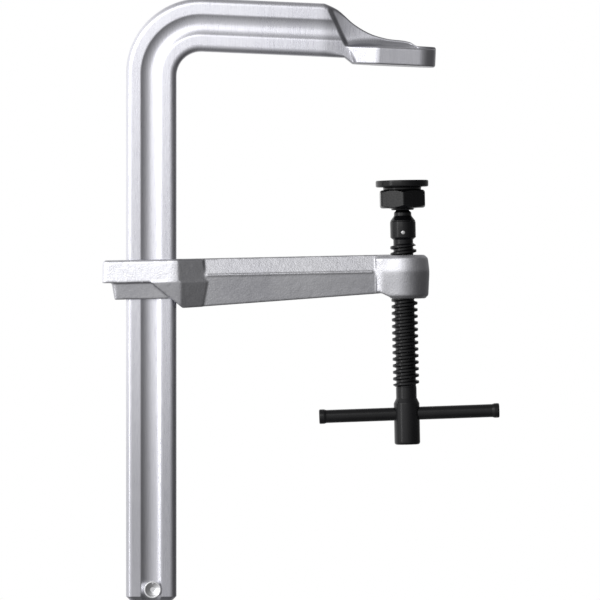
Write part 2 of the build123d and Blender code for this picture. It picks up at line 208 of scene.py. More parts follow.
@dataclass(frozen=True)
class Steel:
    """A steel finish: two tones that drift into each other, a fine grain and small dents.

    Attributes:
        name: The material's name.
        light: The cleaner tone.
        dark: The tone in hollows of the grain.
        metallic: How metallic it is.
        roughness: The mean roughness.
        roughness_drift: How far roughness wanders either way.
        grain: How the surface was worked.
        grain_size: The grain's size in millimetres.
        grain_depth: The grain's bump in millimetres.
        dent_size: The size of its dents in millimetres.
        dent_depth: The dents' bump in millimetres.
        speckle: The share of bright specks, where the grain's tips are rubbed.
        specular: The gloss level of a coating that isn't metallic.
    """

    name: str
    light: tuple[float, float, float]
    dark: tuple[float, float, float]
    metallic: float = 1.0
    roughness: float = 0.32
    roughness_drift: float = 0.06
    grain: Grain = Grain.FORGED
    grain_size: float = 0.5
    grain_depth: float = 0.03
    dent_size: float = 7.0
    dent_depth: float = 0.05
    speckle: float = 0.0
    specular: float = 0.5

    def noise(self, graph: Graph, place: Signal, size: float, detail: float) -> Signal:
        """Add a noise whose features are about this many millimetres across."""
        inputs = {"Vector": place, "Scale": 1.0 / (size * MM), "Detail": detail, "Roughness": NOISE_ROUGHNESS}
        return graph.signal("ShaderNodeTexNoise", "Fac", None, inputs)

    def shade(self, graph: Graph, place: Signal, colour: bpy.types.NodeSocket) -> bpy.types.NodeSocket:
        """Change the colour from place to place, which a plain finish doesn't."""
        return colour

    def extra_roughness(self, graph: Graph, place: Signal) -> Number:
        """Give the roughness that some places have beyond the finish's own, which a plain finish doesn't."""
        return 0.0

    def build(self) -> bpy.types.Material:
        """Make the material.

        Returns:
            The new material.
        """
        material = bpy.data.materials.new(self.name)
        material.use_nodes = True
        graph = Graph(material.node_tree)
        shader = material.node_tree.nodes["Principled BSDF"]
        place = graph.signal("ShaderNodeTexCoord", "Object")
        mapping = {"Vector": place, "Scale": self.grain.value}
        stretched = graph.signal("ShaderNodeMapping", "Vector", None, mapping)
        cloud = self.noise(graph, stretched, CLOUD_PER_DENT * self.dent_size, detail=3.0)
        dents = self.noise(graph, stretched, self.dent_size, detail=2.0)
        grain = self.noise(graph, stretched, self.grain_size, detail=4.0)
        tone = (cloud * 0.5 + grain * 0.5).between(*TONE_RANGE)
        colour = graph.mix(tone, rgba(self.dark), rgba(self.light))
        if self.speckle:
            specks = grain.between(*SPECK_RANGE) * self.speckle
            colour = graph.mix(specks, colour, rgba([min(1.0, SPECK_GAIN * part) for part in self.light]))
        colour = self.shade(graph, place, colour)
        drift = (cloud + grain - 1.0) * (2.0 * self.roughness_drift)
        rough = self.roughness + drift + self.extra_roughness(graph, place)
        height = grain * (self.grain_depth / self.dent_depth) + dents
        relief = {"Strength": 1.0, "Distance": self.dent_depth * MM, "Height": height}
        bump = graph.node("ShaderNodeBump", None, relief)
        links = material.node_tree.links
        links.new(colour, shader.inputs["Base Color"])
        links.new(rough.socket, shader.inputs["Roughness"])
        links.new(bump.outputs["Normal"], shader.inputs["Normal"])
        shader.inputs["Metallic"].default_value = self.metallic
        shader.inputs["Specular IOR Level"].default_value = self.specular
        return material


@dataclass(frozen=True)
class PaintedShadeSteel(Steel):
    """A forging's steel with painted shade along its beam, on its boss, and below the collar's and boss's
    parting lines.

    Attributes:
        beam_shade_from: Where the painted shade along the beam starts, in millimetres from the screw's line.
        beam_shade_to: Where it ends.
        beam_shade_keep: How much of its colour the beam keeps under that painted shade.
        boss_shade: How much of its colour the boss keeps under its painted shade.
        boss_roughness: How much rougher the boss is.
        boss_parting: The boss's parting line above the arm's middle, in millimetres.
        lower_shade: How much of its colour the lower die's side of the collar and the boss keeps, as painted
            shade.
        beam_blend: Half the width of the change at the beam's start, in millimetres.
        boss_blend: The same at the boss.
        collar_blend: The same at the collar's parting line.
        parting_blend: The same at the boss's parting line.
    """

    # Painted shade along the beam, on the boss and below the parting lines.
    beam_shade_from: float = -140.0
    beam_shade_to: float = -14.0
    beam_shade_keep: float = 0.6
    boss_shade: float = 0.72
    boss_roughness: float = 0.14
    boss_parting: float = 3.5
    lower_shade: float = 0.66
    beam_blend: float = 3.0
    boss_blend: float = 2.0
    collar_blend: float = 0.7
    parting_blend: float = 1.5

    def shade(self, graph: Graph, place: Signal, colour: bpy.types.NodeSocket) -> bpy.types.NodeSocket:
        """Paint shade into the colour along the beam, on the boss, and below the collar's and boss's parting
        lines.

        Args:
            graph: The material's graph.
            place: The place on the arm.
            colour: The colour so far.

        Returns:
            The socket of the colour with its painted shade.
        """
        x, _, z = graph.axes(place)
        turn = joint("screw_turn")
        above = x * turn["axis"][0] + (z - turn["pos_m"][2]) * turn["axis"][2]
        beam = self.past(x, self.beam_shade_from, self.beam_blend)
        boss = self.past(x, self.beam_shade_to, self.boss_blend)
        under_collar = (1.0 - self.past(above, 0.0, self.collar_blend)) * (1.0 - beam)
        under_boss = (1.0 - self.past(above, self.boss_parting, self.parting_blend)) * boss
        # Painted shade: each mask darkens the colour towards black.
        for mask, kept in (
            (beam * (1.0 - boss), self.beam_shade_keep), (boss, self.boss_shade),
            (under_collar + under_boss, self.lower_shade),
        ):
            colour = graph.mix(mask * (1.0 - kept), colour, BLACK)
        return colour

    @staticmethod
    def past(value: Signal, level: float, blend: float) -> Signal:
        """Tell how far a value is past a level, from 0 to 1, with a blend either side in millimetres."""
        return value.between((level - blend) * MM, (level + blend) * MM)

    def extra_roughness(self, graph: Graph, place: Signal) -> Number:
        """Leave the boss rougher, as its dies do."""
        return self.past(graph.axes(place)[0], self.beam_shade_to, self.boss_blend) * self.boss_roughness


@dataclass(frozen=True)
class FootShadeDarkJawSteel(Steel):
    """A bar's plating with painted shade towards its foot, and darker on its jaw.

    Attributes:
        unshaded_above: The height in millimetres above which it has no painted shade.
        full_shade_below: The height below which its painted shade is darkest.
        darkened_keep: How much of its colour it keeps there, and on the jaw.
        dark_jaw_from: The distance from the screw's line where the forged jaw starts, which is darker.
        dark_jaw_blend: Where the change there starts and ends, from that place.
    """

    # Painted shade towards the foot, and a darker jaw.
    unshaded_above: float = -130.0
    full_shade_below: float = -290.0
    darkened_keep: float = 0.66
    dark_jaw_from: float = -50.0
    dark_jaw_blend: tuple[float, float] = (-4.0, 6.0)

    def shade(self, graph: Graph, place: Signal, colour: bpy.types.NodeSocket) -> bpy.types.NodeSocket:
        """Paint shade into the colour towards the foot, and darken it on the jaw.

        Args:
            graph: The material's graph.
            place: The place on the rail.
            colour: The colour so far.

        Returns:
            The darkened colour's socket.
        """
        x, _, z = graph.axes(place)
        # Painted shade: the colour darkens towards the foot.
        low = z.between(self.unshaded_above * MM, self.full_shade_below * MM)
        # The jaw is darkened too.
        jaw = x.between(*((self.dark_jaw_from + off) * MM for off in self.dark_jaw_blend))
        darkened_colour = graph.mix(1.0 - self.darkened_keep, colour, BLACK)
        return graph.mix((low + jaw).clamped(), colour, darkened_colour)


# The rail's finish has painted shade towards its foot.
RAIL_STEEL = FootShadeDarkJawSteel(
    "plated_rail", (0.75, 0.75, 0.80), (0.60, 0.60, 0.66), roughness=0.29, grain=Grain.DRAWN,
)
# The arm's finish has painted shade along its beam, on its boss and below its parting lines.
ARM_STEEL = PaintedShadeSteel(
    "plated_forging", (0.86, 0.86, 0.90), (0.70, 0.70, 0.75), roughness=0.33, roughness_drift=0.08,
    grain_size=0.9, grain_depth=0.12, dent_size=6.0, dent_depth=0.12, speckle=0.4,
)
PIN_STEEL = Steel("plated_pin", (0.82, 0.82, 0.84), (0.68, 0.68, 0.70), roughness=0.25)
BRIGHT_STEEL = Steel("bright_pin", (0.62, 0.62, 0.62), (0.5, 0.5, 0.5), roughness=0.3)
BLACK_STEEL = Steel(
    "black_oxide", (0.005, 0.005, 0.006), (0.002, 0.002, 0.0025), metallic=0.0, roughness=0.22, specular=0.32,
    grain_size=0.4, grain_depth=0.015, dent_size=5.0, dent_depth=0.03,
)


# ---------------------------------------------------------------- mesh work


def new_object(name: str, data: bpy.types.ID) -> bpy.types.Object:
    """Put a mesh, a light or a camera into the scene as an object at the origin.

    Args:
        name: The object's name.
        data: What it holds.

    Returns:
        The new object.
    """
    made = bpy.data.objects.new(name, data)
    bpy.context.scene.collection.objects.link(made)
    return made


@contextmanager
def editing(mesh: bpy.types.Mesh) -> Iterator[bmesh.types.BMesh]:
    """Open a mesh for editing in a with block, and write it back at the block's end.

    Args:
        mesh: The mesh to edit.

    Yields:
        Its editable shape.
    """
    shape = bmesh.new()
    shape.from_mesh(mesh)
    yield shape
    shape.to_mesh(mesh)
    shape.free()


def skin(rows: np.ndarray, loop: bool = False) -> bpy.types.Mesh:
    """Join closed rings of points into one closed mesh.

    Args:
        rows: Rings by points by coordinates, in metres.
        loop: Whether the last ring joins the first. Otherwise both ends are capped.

    Returns:
        A mesh whose faces point outwards.
    """
    count, around = rows.shape[:2]
    step = np.arange(around)
    after = (step + 1) % around
    faces = []
    for row in range(count if loop else count - 1):
        low, high = row * around, ((row + 1) % count) * around
        faces += np.stack([low + step, low + after, high + after, high + step], axis=1).tolist()
    if not loop:
        faces += [step[::-1].tolist(), ((count - 1) * around + step).tolist()]
    mesh = bpy.data.meshes.new("skin")
    mesh.from_pydata(rows.reshape(-1, 3).tolist(), [], faces)
    tidy(mesh)
    return mesh


def tidy(mesh: bpy.types.Mesh) -> None:
    """Merge doubles, drop flat faces and point every face outwards.

    Args:
        mesh: The mesh to tidy.
    """
    with editing(mesh) as shape:
        bmesh.ops.remove_doubles(shape, verts=shape.verts, dist=MERGE)
        bmesh.ops.dissolve_degenerate(shape, edges=shape.edges, dist=MERGE / 10)
        bmesh.ops.recalc_face_normals(shape, faces=shape.faces)


def smooth_shading(mesh: bpy.types.Mesh, angle: float = 40.0) -> None:
    """Shade a mesh smooth, apart from its sharper edges.

    Args:
        mesh: The mesh to shade.
        angle: The angle in degrees beyond which an edge stays sharp.
    """
    limit = math.radians(angle)
    with editing(mesh) as shape:
        for edge in shape.edges:
            edge.smooth = not (edge.is_manifold and edge.calc_face_angle(0.0) > limit)
        for face in shape.faces:
            face.smooth = True


def placed(name: str, mesh: bpy.types.Mesh, place: Matrix, angle: float = 40.0) -> bpy.types.Object:
    """Make an object from a mesh that is moved to its place and shaded.

    Args:
        name: The object's name.
        mesh: The mesh, in its own upright frame.
        place: Where it goes.
        angle: The angle in degrees beyond which an edge stays sharp.

    Returns:
        The new object.
    """
    mesh.transform(place)
    smooth_shading(mesh, angle)
    return new_object(name, mesh)


def rounded(points: Sequence[Point], radii: Sequence[float], steps: int = 4) -> list[Point]:
    """Round the inner corners of an open outline.

    Args:
        points: The outline's corners.
        radii: One radius for each inner corner, 0 for a sharp one.
        steps: The segments of each arc.

    Returns:
        The outline with its arcs.
    """
    line = [Vector(point) for point in points]
    out = [points[0]]
    for before, corner, after, radius in zip(line, line[1:], line[2:], radii):
        back, ahead = (before - corner), (after - corner)
        half = back.angle(ahead) / 2
        if radius <= 0 or half > math.radians(89):
            out.append(tuple(corner))
            continue
        reach = min(radius / math.tan(half), 0.49 * back.length, 0.49 * ahead.length)
        start, end = corner + back.normalized() * reach, corner + ahead.normalized() * reach
        for step in range(steps + 1):
            share = step / steps
            out.append(tuple((1 - share) ** 2 * start + 2 * share * (1 - share) * corner + share**2 * end))
    out.append(points[-1])
    return out


def lathe(outline: Sequence[Point], around: int = 96, loop: bool = False) -> bpy.types.Mesh:
    """Turn an outline of radius and height, in millimetres, about the Z axis.

    Args:
        outline: The radii and heights.
        around: The segments of a turn.
        loop: Whether the outline closes on itself, as a ring's does.

    Returns:
        The turned mesh, in metres.
    """
    turn = np.linspace(0, 2 * math.pi, around, endpoint=False)
    rows = np.array([[(r * math.cos(a), r * math.sin(a), z) for a in turn] for r, z in outline])
    return skin(rows * MM, loop)


def rod(radius: float, low: float, high: float) -> bpy.types.Mesh:
    """Make a plain round bar along Z, in millimetres."""
    return lathe([(0, low), (radius, low), (radius, high), (0, high)], around=64)


def cut(target: bpy.types.Object, cutter: bpy.types.Mesh) -> None:
    """Cut a mesh out of an object and apply the cut.

    Args:
        target: The object to cut.
        cutter: The mesh that is cut away.
    """
    tool = new_object("cutter", cutter)
    modifier = target.modifiers.new("cut", "BOOLEAN")
    modifier.operation, modifier.solver, modifier.object = "DIFFERENCE", "EXACT", tool
    apply_modifiers(target)
    bpy.data.objects.remove(tool)


def apply_modifiers(target: bpy.types.Object) -> None:
    """Replace an object's mesh by its evaluated one and remove its modifiers.

    Args:
        target: The object.
    """
    graph = bpy.context.evaluated_depsgraph_get()
    baked = bpy.data.meshes.new_from_object(target.evaluated_get(graph), depsgraph=graph)
    target.modifiers.clear()
    target.data = baked


def joined(name: str, meshes: Sequence[bpy.types.Mesh]) -> bpy.types.Object:
    """Make one object from several meshes.

    Args:
        name: The object's name.
        meshes: The meshes, which stay apart inside the new one.

    Returns:
        The new object.
    """
    whole = bpy.data.meshes.new(name)
    with editing(whole) as shape:
        for mesh in meshes:
            shape.from_mesh(mesh)
    return new_object(name, whole)


def dress(piece: bpy.types.Object, finish: bpy.types.Material, body: str, node: str) -> None:
    """Give a piece its finish and its body, and hide the CAD node that it stands for.

    Args:
        piece: The finished piece.
        finish: Its material.
        body: The CAD body that it rides on.
        node: The CAD node that it replaces.
    """
    piece.data.materials.clear()
    piece.data.materials.append(finish)
    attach(piece, body)
    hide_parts(node)
    LOG.info("%s: %d faces", piece.name, len(piece.data.polygons))


def ease_through(keys: Sequence[Point], at: np.ndarray | float) -> np.ndarray:
    """Run a smooth curve through keys without overshoot.

    Args:
        keys: Places and values, in rising order of place.
        at: Where to read the curve.

    Returns:
        The curve's values.
    """
    x, y = np.array(keys, dtype=float).T
    slope = np.diff(y) / np.diff(x)
    tangent = np.concatenate([[slope[0]], (slope[1:] + slope[:-1]) / 2, [slope[-1]]])
    tangent[1:-1][slope[1:] * slope[:-1] <= 0] = 0.0
    at = np.clip(at, x[0], x[-1])
    part = np.clip(np.searchsorted(x, at, side="right") - 1, 0, len(x) - 2)
    run = x[part + 1] - x[part]
    t = (at - x[part]) / run
    return (
        (2 * t**3 - 3 * t**2 + 1) * y[part] + (t**3 - 2 * t**2 + t) * run * tangent[part]
        + (3 * t**2 - 2 * t**3) * y[part + 1] + (t**3 - t**2) * run * tangent[part + 1]
    )


def eased(share: np.ndarray) -> np.ndarray:
    """Ease a share that runs from 0 to 1."""
    return share * share * (3 - 2 * share)


def spaced(points: np.ndarray, count: int) -> np.ndarray:
    """Place points evenly along a polyline.

    Args:
        points: The polyline's points.
        count: How many points to place.

    Returns:
        The new points.
    """
    length = np.concatenate([[0], np.cumsum(np.linalg.norm(np.diff(points, axis=0), axis=1))])
    at = np.linspace(0, length[-1], count)
    return np.stack([np.interp(at, length, column) for column in points.T], axis=1)


# ---------------------------------------------------------------- the rail


@dataclass
class Rail:
    """The bent bar with its forged jaw, and the pin through its foot.

    Heights on the head are above the jaw's face, and places along it are from the screw's line.
    """

    width: float = 30.6
    half: float = 7.5
    corner: float = 3.6
    groove_half: float = 6.2
    groove_depth: float = 1.7
    foot_chamfer: float = 2.4
    head_low: float = 3.6
    head_high: float = 35.9
    inner_bend: float = 15.0
    outer_bend: float = 46.0
    plate_half: float = 15.0
    plate_tip_half: float = 13.8
    plate_top: float = 10.7
    spine_round: float = 1.1
    plate_round: float = 1.3
    tip_round: float = 10.0
    pin_radius: float = 5.25
    pin_wall: float = 1.7
    pin_round: float = 0.8
    pin_slot: float = 0.9
    pin_slot_length: float = 2.5
    pin_dish: float = 1.5
    pin_dish_radius: float = 1.5
    web_keys: tuple[Point, ...] = (
        (-54.0, 7.2), (-47.0, 5.4), (-40.0, 4.1), (-32.0, 3.5), (-20.0, 3.4), (8.0, 4.4),
    )
    fillet_keys: tuple[Point, ...] = ((-40.0, 2.6), (-24.0, 2.0), (0.0, 1.5))
    neck: float = -48.0
    neck_height: float = 33.0
    neck_way: Point = (0.887, 0.464)
    neck_ahead: float = 0.6
    neck_step: float = 2.8
    neck_lead: float = 4.0
    neck_to_jaw: float = 12.0
    jaw_under_round: float = 1.0
    stations: float = 0.6
    tip_short: float = 0.4
    face_step: Point = (-36.5, -31.5)
    plate_places: tuple[float, ...] = (-36.0, -33.5, -17.0, -15.5)
    plate_widths: tuple[float, float] = (8.2, 14.8)
    groove_reach: float = 1.4
    groove_blend: float = 0.012
    pin_fit: float = 0.05
    pin_bevel: float = 0.5
    pin_slot_place: float = 1.15
    pin_cut: float = 20.0
    tip_gap: float = 0.05
    plain: float = -1e4
    leg_rings: int = 40
    bend_rings: int = 60
    head_rings: int = 24
    tip_rings: int = 7
    flank_samples: tuple[int, int] = (60, 120)
    flank_points: tuple[int, int] = (18, 30)
    cap_points: int = 4
    corner_points: int = 8

    def __post_init__(self) -> None:
        """Read the places that the frame holds."""
        low, high = (Vector(corner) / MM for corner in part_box("rail"))
        normal = next(m for m in frame["record"]["mounts"] if m["name"] == "fixed_jaw")["axis"]
        self.fall = math.atan2(-normal[0], -normal[2])
        self.foot = low.z
        self.outer_x = low.x
        self.inner_x = low.x + self.width
        self.tip = high.x * math.cos(self.fall) - self.tip_short
        self.top_keys = (
            (self.neck - 2.0, self.head_high), (-42.0, 32.5), (-31.6, 24.2), (-21.5, 18.8), (-11.7, 16.2),
            (3.0, 14.5), (8.0, 12.1), (self.tip, 12.1),
        )

    def on_head(self, along: float, above: float) -> np.ndarray:
        """Give the XZ point at a distance along the head and above its face."""
        c, s = math.cos(self.fall), math.sin(self.fall)
        return np.array([along * c + above * s, above * c - along * s])

    def groove(self, off_middle: np.ndarray) -> np.ndarray:
        """Give the groove's depth.

        Args:
            off_middle: Distances from the flat's middle.

        Returns:
            Depths, with the groove's edges slightly rounded.
        """
        radius = (self.groove_half**2 + self.groove_depth**2) / (2 * self.groove_depth)
        inside = np.clip(radius**2 - off_middle**2, 0, None)
        deep = np.sqrt(inside) - (radius - self.groove_depth)
        near = np.abs(off_middle) < self.groove_reach * self.groove_half
        return 0.5 * (deep + np.sqrt(deep**2 + self.groove_blend)) * near

    def plate(self, along: float) -> float:
        """Give the jaw plate's half width.

        Args:
            along: The place along the head.

        Returns:
            The half width, drawn in round the tip.
        """
        places = (*self.plate_places, self.tip)
        halves = (self.half, *self.plate_widths, self.plate_half, self.plate_tip_half)
        half = float(np.interp(along, places, halves))
        run = min(1.0, max(0.0, along - self.tip + self.tip_round) / self.tip_round)
        return half - self.tip_round + self.tip_round * math.sqrt(1 - run**2)

    def flank(self, along: float, above: np.ndarray, middle: float) -> np.ndarray:
        """Give the half thickness of the head or jaw.

        Args:
            along: The place along the head.
            above: Heights above the jaw's face.
            middle: The height of the groove's middle.

        Returns:
            Half thicknesses.
        """
        bar = self.half - self.groove(above - middle)
        if along < self.neck - self.neck_lead:
            return bar
        plate = self.plate(along)
        run = float(np.interp(along, *zip(*self.fillet_keys)))
        over = np.clip(above - self.plate_top + self.plate_round, 0, self.plate_round)
        edge = self.plate_round - np.sqrt(np.clip(self.plate_round**2 - over**2, 0, None))
        web_half = float(ease_through(self.web_keys, along))
        web = web_half + (plate - web_half - self.plate_round) * np.exp(
            -np.clip(above - self.plate_top, 0, None) / run
        )
        jaw = np.where(above < self.plate_top, plate - edge, web)
        past = (along - self.neck) * self.neck_way[0] + (above - self.neck_height) * self.neck_way[1]
        share = eased(np.clip((past + self.neck_ahead) / self.neck_step, 0, 1))
        return bar * (1 - share) + jaw * share

    def section(self, along: float, low: float, high: float, inset: float = 0.0) -> np.ndarray:
        """Give one closed ring of depth and height.

        Args:
            along: The place along the head, or the field plain for the bar before it.
            low: The ring's lowest height.
            high: Its highest.
            inset: How far the ring is drawn in, at a chamfer or a rounded end.

        Returns:
            Points, going round from the middle of the underside.
        """
        middle = (self.head_low + self.head_high) / 2 if along > self.plain else (low + high) / 2
        jaw = float(np.clip((along - self.neck) / self.neck_to_jaw, 0, 1))
        under = self.corner + (self.jaw_under_round - self.corner) * jaw
        over = self.corner + (self.spine_round - self.corner) * jaw
        split = middle + (self.plate_top - middle) * jaw
        ends = ((low + under, split), (split, high - over))
        heights = [np.linspace(*pair, count) for pair, count in zip(ends, self.flank_samples)]
        flank = [np.stack([self.flank(along, v, middle), v], axis=1) for v in heights]
        start, end = flank[0][0], flank[1][-1]
        quarter = np.linspace(0, math.pi / 2, self.corner_points)
        cos, sin = np.cos(quarter), np.sin(quarter)
        lower = np.stack([start[0] - under + under * sin, low + under - under * cos], axis=1)
        upper = np.stack([end[0] - over + over * cos, high - over + over * sin], axis=1)
        half = np.concatenate([
            spaced(np.array([[0.0, low], lower[0]]), self.cap_points)[:-1], lower,
            *(spaced(line, count)[1:] for line, count in zip(flank, self.flank_points)),
            upper[1:], spaced(np.array([upper[-1], [0.0, high]]), self.cap_points)[1:],
        ])
        if inset:
            size = np.array([half[:, 0].max(), (high - low) / 2])
            centre = np.array([0.0, (high + low) / 2])
            half = centre + (half - centre) * (1 - inset / size)
        other = half[1:-1][::-1] * (-1, 1)
        return np.concatenate([half, other])

    def rows(self) -> np.ndarray:
        """Give every ring from the foot, round the bend and out to the jaw's tip.

        Returns:
            Rings by points by coordinates, in millimetres.
        """
        rings = []
        inner_corner = self.head_low / math.cos(self.fall) - self.inner_x * math.tan(self.fall)
        outer_corner = self.head_high / math.cos(self.fall) - self.outer_x * math.tan(self.fall)
        turn = math.pi / 2 + self.fall
        sides = ((self.inner_x, inner_corner, self.inner_bend), (self.outer_x, outer_corner, self.outer_bend))
        bends = [(np.array([x + r, corner - r * math.tan(turn / 2)]), r) for x, corner, r in sides]

        def ring(low_point: np.ndarray, high_point: np.ndarray, section: np.ndarray, low: float) -> None:
            """Place one section between two points of the bar's edges.

            Args:
                low_point: The XZ point on the inner edge.
                high_point: The XZ point on the outer edge.
                section: The ring of depth and height.
                low: The section's lowest height.
            """
            up = (high_point - low_point) / np.linalg.norm(high_point - low_point)
            flat = low_point + (section[:, 1:] - low) * up
            rings.append(np.stack([flat[:, 0], section[:, 0], flat[:, 1]], axis=1))

        leg_top = min(bends[0][0][1], bends[1][0][1])
        levels = [(self.foot, self.foot_chamfer), (self.foot + self.foot_chamfer, 0.0)]
        levels += [(z, 0.0) for z in np.linspace(self.foot + 2 * self.foot_chamfer, leg_top, self.leg_rings)]
        for z, inset in levels:
            section = self.section(self.plain, 0, self.width, inset)
            ring(np.array([self.inner_x, z]), np.array([self.outer_x, z]), section, 0)
        for angle in np.linspace(0, turn, self.bend_rings)[1:]:
            away = np.array([-math.cos(angle), math.sin(angle)])
            low_point, high_point = (centre + radius * away for centre, radius in bends)
            tall = float(np.linalg.norm(high_point - low_point))
            ring(low_point, high_point, self.section(self.plain, 0, tall), 0)
        start = float(bends[0][0] @ (math.cos(self.fall), -math.sin(self.fall)))
        head_end = self.neck - self.neck_lead
        stations = np.concatenate([
            np.linspace(start, head_end, self.head_rings)[1:],
            np.arange(head_end + self.stations, self.tip - self.plate_round, self.stations),
        ])
        for along in stations:
            low = float(np.interp(along, self.face_step, (self.head_low, 0.0)))
            high = float(ease_through(self.top_keys, along))
            ring(self.on_head(along, low), self.on_head(along, high), self.section(along, low, high), low)
        for angle in np.linspace(0, math.pi / 2, self.tip_rings)[1:]:
            along = self.tip - self.plate_round * (1 - math.sin(angle))
            inset = self.plate_round * (1 - math.cos(angle))
            high = float(ease_through(self.top_keys, along))
            section = self.section(min(along, self.tip - self.tip_gap), 0.0, high, inset)
            ring(self.on_head(along, 0.0), self.on_head(along, high), section, 0.0)
        return np.array(rings)

    def build_bar(self) -> bpy.types.Object:
        """Make the bar with its jaw and the hole for the stop pin.

        Returns:
            The bar.
        """
        bar = new_object("rail_forging", skin(self.rows() * MM))
        hole = rod(self.pin_radius - self.pin_fit, -self.pin_cut, self.pin_cut)
        hole.transform(self.pin_place())
        cut(bar, hole)
        smooth_shading(bar.data)
        return bar

    def pin_place(self) -> Matrix:
        """Give the stop pin's place.

        Returns:
            The pin's upright frame, turned so that its length lies along Y.
        """
        low, high = (Vector(corner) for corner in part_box("stop_pin"))
        middle = Vector(((low.x + high.x) / 2, 0, low.z + self.pin_radius * MM))
        return Matrix.Translation(middle) @ Matrix.Rotation(math.pi / 2, 4, "X")

    def build_pin(self) -> bpy.types.Object:
        """Make the rolled pin: rounded ends, a closed and dished bore, and the slot's two ends.

        Returns:
            The pin.
        """
        low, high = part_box("stop_pin")
        end = (high[1] - low[1]) / 2 / MM
        inner, outer = self.pin_radius - self.pin_wall, self.pin_radius
        middle = (inner + outer) / 2
        deep = end - self.pin_dish
        bevel = (inner, end - self.pin_bevel)
        half = [(outer, end), (middle, end), bevel, (self.pin_dish_radius, deep), (0, deep)]
        radii = [self.pin_round, 0.5, 0.6, 0.8]
        outline = rounded([(r, -z) for r, z in reversed(half)] + half, radii[::-1] + radii, steps=5)
        pin = new_object("stop_pin_roll", lathe(outline))
        scale = Vector((self.pin_slot, self.pin_radius, 2 * self.pin_slot_length)) * MM
        for side in (-1, 1):
            slot = bpy.data.meshes.new("slot")
            with editing(slot) as shape:
                bmesh.ops.create_cube(shape, size=1.0)
                bmesh.ops.scale(shape, vec=scale, verts=shape.verts)
                place = Vector((0, self.pin_slot_place * self.pin_radius, side * end)) * MM
                bmesh.ops.translate(shape, vec=place, verts=shape.verts)
            cut(pin, slot)
        pin.data.transform(self.pin_place())
        smooth_shading(pin.data)
        return pin

    def build(self) -> None:
        """Make the rail's pieces and dress them."""
        dress(self.build_bar(), RAIL_STEEL.build(), "frame", "rail")
        dress(self.build_pin(), PIN_STEEL.build(), "frame", "stop_pin")


# ---------------------------------------------------------------- the sliding arm


@dataclass
class Arm:
    """The forged arm: the CAD solid with its edges and corners flowed over, as a drop forging's are."""

    voxel: float = 0.55
    flow: int = 5
    flow_factor: float = 0.5
    bore: float = 8.3
    plug: float = 9.2
    countersink: float = 0.9
    boss_bottom: float = -13.35
    boss_top: float = 13.35
    plug_reach: tuple[float, float] = (-13.0, 13.1)
    bead_half: float = 0.55
    bead_proud: float = 0.35
    beam_half: float = 8.0
    beam_start: float = -120.0
    beam_end: float = -19.0
    parting: float = 3.5
    unevenness: float = 0.10
    uneven_size: float = 5.0
    rim_past: float = 3.0
    boss_start: float = -15.0
    boss_middle: float = 1.1
    boss_half: float = 14.5
    boss_blend: float = 6.0
    draft_above: float = 8.0
    draft_below: float = 4.0
    parting_round: float = 2.5

    def bead(self) -> bpy.types.Mesh:
        """Make the trimmed flash line along both flanks of the beam.

        Returns:
            A thin plate across the beam, whose edges stand proud.
        """
        wide, tall = self.beam_half + self.bead_proud, self.bead_half / 2
        corners = ((-wide, -tall), (wide, -tall), (wide, tall), (-wide, tall))
        places = np.linspace(self.beam_start, self.beam_end, 3)
        return skin(np.array([[(x, y, self.parting + z) for y, z in corners] for x in places]) * MM)

    def draft_boss(self, mesh: bpy.types.Mesh, place: Matrix) -> None:
        """Draw the boss in above and below its parting line, as the dies leave it.

        Args:
            mesh: The arm's mesh.
            place: The screw's own upright frame.
        """
        points = np.empty(3 * len(mesh.vertices))
        mesh.vertices.foreach_get("co", points)
        points = points.reshape(-1, 3)
        turn, origin = np.array(place.to_3x3()), np.array(place.translation)
        local = (points - origin) @ turn / MM
        share = eased(np.clip((local[:, 0] - self.boss_start) / self.boss_blend, 0, 1))
        rise = local[:, 2] - self.parting
        off_parting = np.sqrt(rise**2 + self.parting_round**2) - self.parting_round
        inset = off_parting * np.tan(np.radians(np.where(rise > 0, self.draft_above, self.draft_below)))
        shrink = 1 - share * inset / self.boss_half
        local[:, 0] = self.boss_middle + (local[:, 0] - self.boss_middle) * shrink
        local[:, 1] *= shrink
        points = local * MM @ turn.T + origin
        mesh.vertices.foreach_set("co", points.ravel())
        mesh.update()

    def build(self) -> None:
        """Make the arm and dress it."""
        place = screw_place()
        whole = bpy.data.meshes.new("arm")
        with editing(whole) as shape:
            shape.from_mesh(frame["nodes"]["sliding_arm"].data)
            bmesh.ops.remove_doubles(shape, verts=shape.verts, dist=MERGE)
        extras = [self.bead(), rod(self.plug, *self.plug_reach)]
        for extra in extras:
            extra.transform(place)
        arm = joined("arm_forging", [whole, *extras])
        remesh = arm.modifiers.new("skin", "REMESH")
        remesh.mode, remesh.voxel_size, remesh.use_smooth_shade = "VOXEL", self.voxel * MM, True
        flow = arm.modifiers.new("flow", "SMOOTH")
        flow.factor, flow.iterations = self.flow_factor, self.flow
        uneven = arm.modifiers.new("uneven", "DISPLACE")
        uneven.texture = bpy.data.textures.new("uneven", "CLOUDS")
        uneven.texture.noise_scale = self.uneven_size * MM
        uneven.strength, uneven.mid_level = self.unevenness * MM, 0.5
        apply_modifiers(arm)
        self.draft_boss(arm.data, place)
        wide = self.bore + self.countersink + self.rim_past
        low, high = self.boss_bottom - self.rim_past, self.boss_top + self.rim_past
        bore = lathe([
            (0, low), (wide, low), (self.bore, self.boss_bottom + self.countersink),
            (self.bore, self.boss_top - self.countersink), (wide, high), (0, high),
        ])
        bore.transform(place)
        cut(arm, bore)
        smooth_shading(arm.data, angle=50)
        dress(arm, ARM_STEEL.build(), "arm", "sliding_arm")


# ---------------------------------------------------------------- the screw


def joint(name: str) -> dict:
    """Give a joint of the frame by name."""
    return next(found for found in frame["record"]["behaviour"]["joints"] if found["name"] == name)


def screw_place() -> Matrix:
    """Give the screw's own upright frame: its line is Z and its origin is in the middle of the arm."""
    turn = joint("screw_turn")
    return Matrix.Translation(Vector(turn["pos_m"])) @ Matrix.Rotation(math.asin(turn["axis"][0]), 4, "Y")


